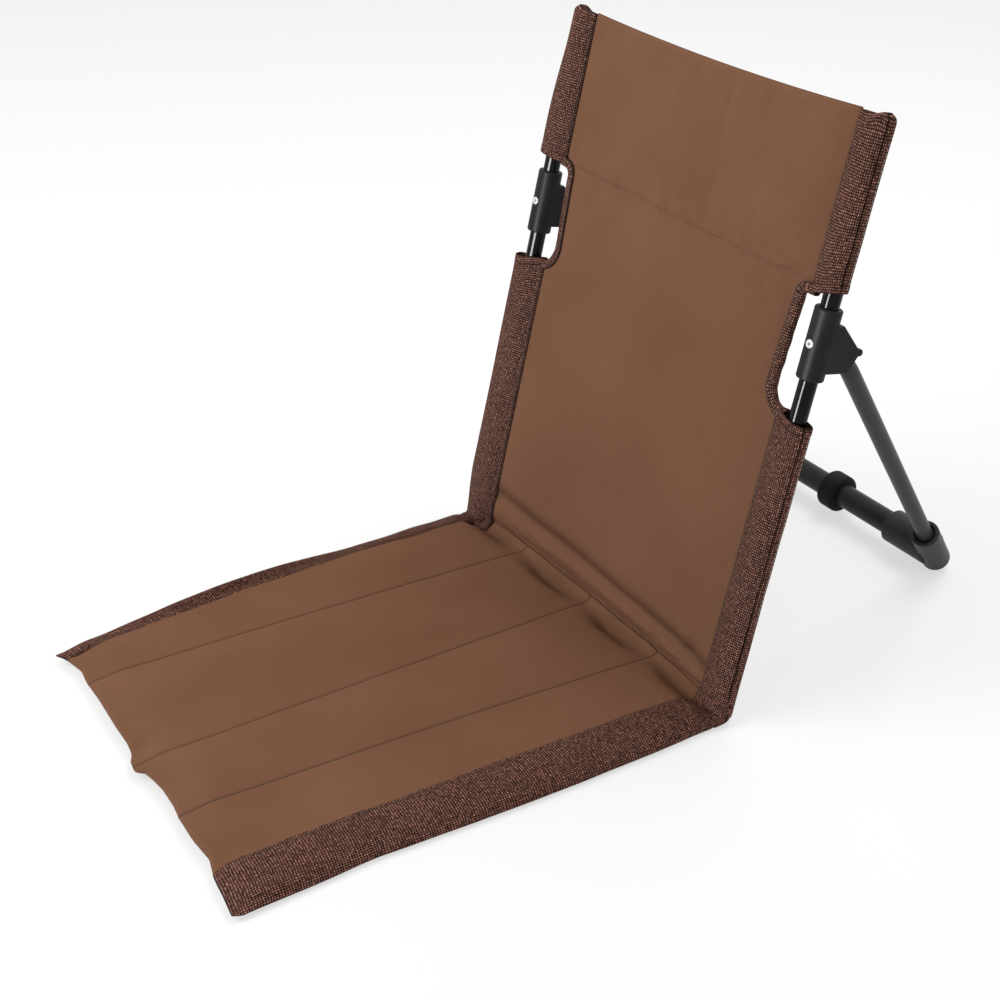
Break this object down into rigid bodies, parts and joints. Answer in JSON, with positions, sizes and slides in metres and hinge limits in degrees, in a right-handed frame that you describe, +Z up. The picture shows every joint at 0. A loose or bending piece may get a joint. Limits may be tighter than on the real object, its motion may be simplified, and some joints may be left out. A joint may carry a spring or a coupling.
{
  "type": "folding beach chair",
  "caption": "Legless folding ground chair: padded seat lying flat, padded backrest on two poles with side notches, and a fold-out leg frame on tee brackets behind it.",
  "frame": {"origin": "on the ground in the middle of the chair's footprint", "axes": "+X to the sitter's left when seated facing -Y, +Y towards the back of the chair, +Z up"},
  "size_m": [0.42, 0.8266, 0.5327],
  "materials": {
    "cover_fabric": "plain-weave brown cover cloth with a faint sheen",
    "border_weave": "coarse dark brown woven webbing",
    "foam": "open-cell padding sheet",
    "pole_black": "gloss black paint",
    "leg_grey": "satin charcoal powder coat",
    "bracket_plastic": "satin black moulded plastic",
    "plug_plastic": "black plastic",
    "collar_rubber": "black rubber",
    "rivet_steel": "bright zinc-plated steel"
  },
  "bodies": {
    "seat": {"seat_foam": "foam", "seat_top_cover": "cover_fabric", "seat_base_cover": "cover_fabric", "seat_border_left": "border_weave", "seat_border_right": "border_weave"},
    "backrest": {"back_foam": "foam", "back_front_cover": "cover_fabric", "back_rear_cover": "cover_fabric", "notch_binding_left": "border_weave", "notch_binding_right": "border_weave", "sleeve_lower_left": "border_weave", "sleeve_lower_right": "border_weave", "sleeve_upper_left": "border_weave", "sleeve_upper_right": "border_weave", "back_pole_left": "pole_black", "back_pole_right": "pole_black", "pole_top_plug_left": "plug_plastic", "pole_top_plug_right": "plug_plastic", "pole_bottom_plug_left": "plug_plastic", "pole_bottom_plug_right": "plug_plastic", "bracket_rivet_left": "rivet_steel", "bracket_rivet_right": "rivet_steel", "tee_bracket_left": "bracket_plastic", "tee_bracket_right": "bracket_plastic", "pivot_pin_left": "rivet_steel", "pivot_pin_right": "rivet_steel", "pivot_washers_left": "plug_plastic", "pivot_washers_right": "plug_plastic"},
    "leg_frame": {"leg_tube_left": "leg_grey", "leg_tube_right": "leg_grey", "leg_top_plug_left": "plug_plastic", "leg_top_plug_right": "plug_plastic", "foot_elbow_left": "bracket_plastic", "foot_elbow_right": "bracket_plastic", "elbow_bush_left": "plug_plastic", "elbow_bush_right": "plug_plastic", "cross_tube_left": "leg_grey", "cross_tube_right": "leg_grey", "cross_tube_joint": "leg_grey", "tube_collar": "collar_rubber"}
  },
  "joints": [
    {"name": "back_fold", "type": "hinge", "parent": "seat", "child": "backrest", "pos_m": [0, 0.04672, 0.0164], "axis": [1, 0, 0], "range_deg": [0, 101]},
    {"name": "leg_fold", "type": "hinge", "parent": "backrest", "child": "leg_frame", "pos_m": [0, 0.15846, 0.33236], "axis": [-1, 0, 0], "range_deg": [0, 50]}
  ]
}
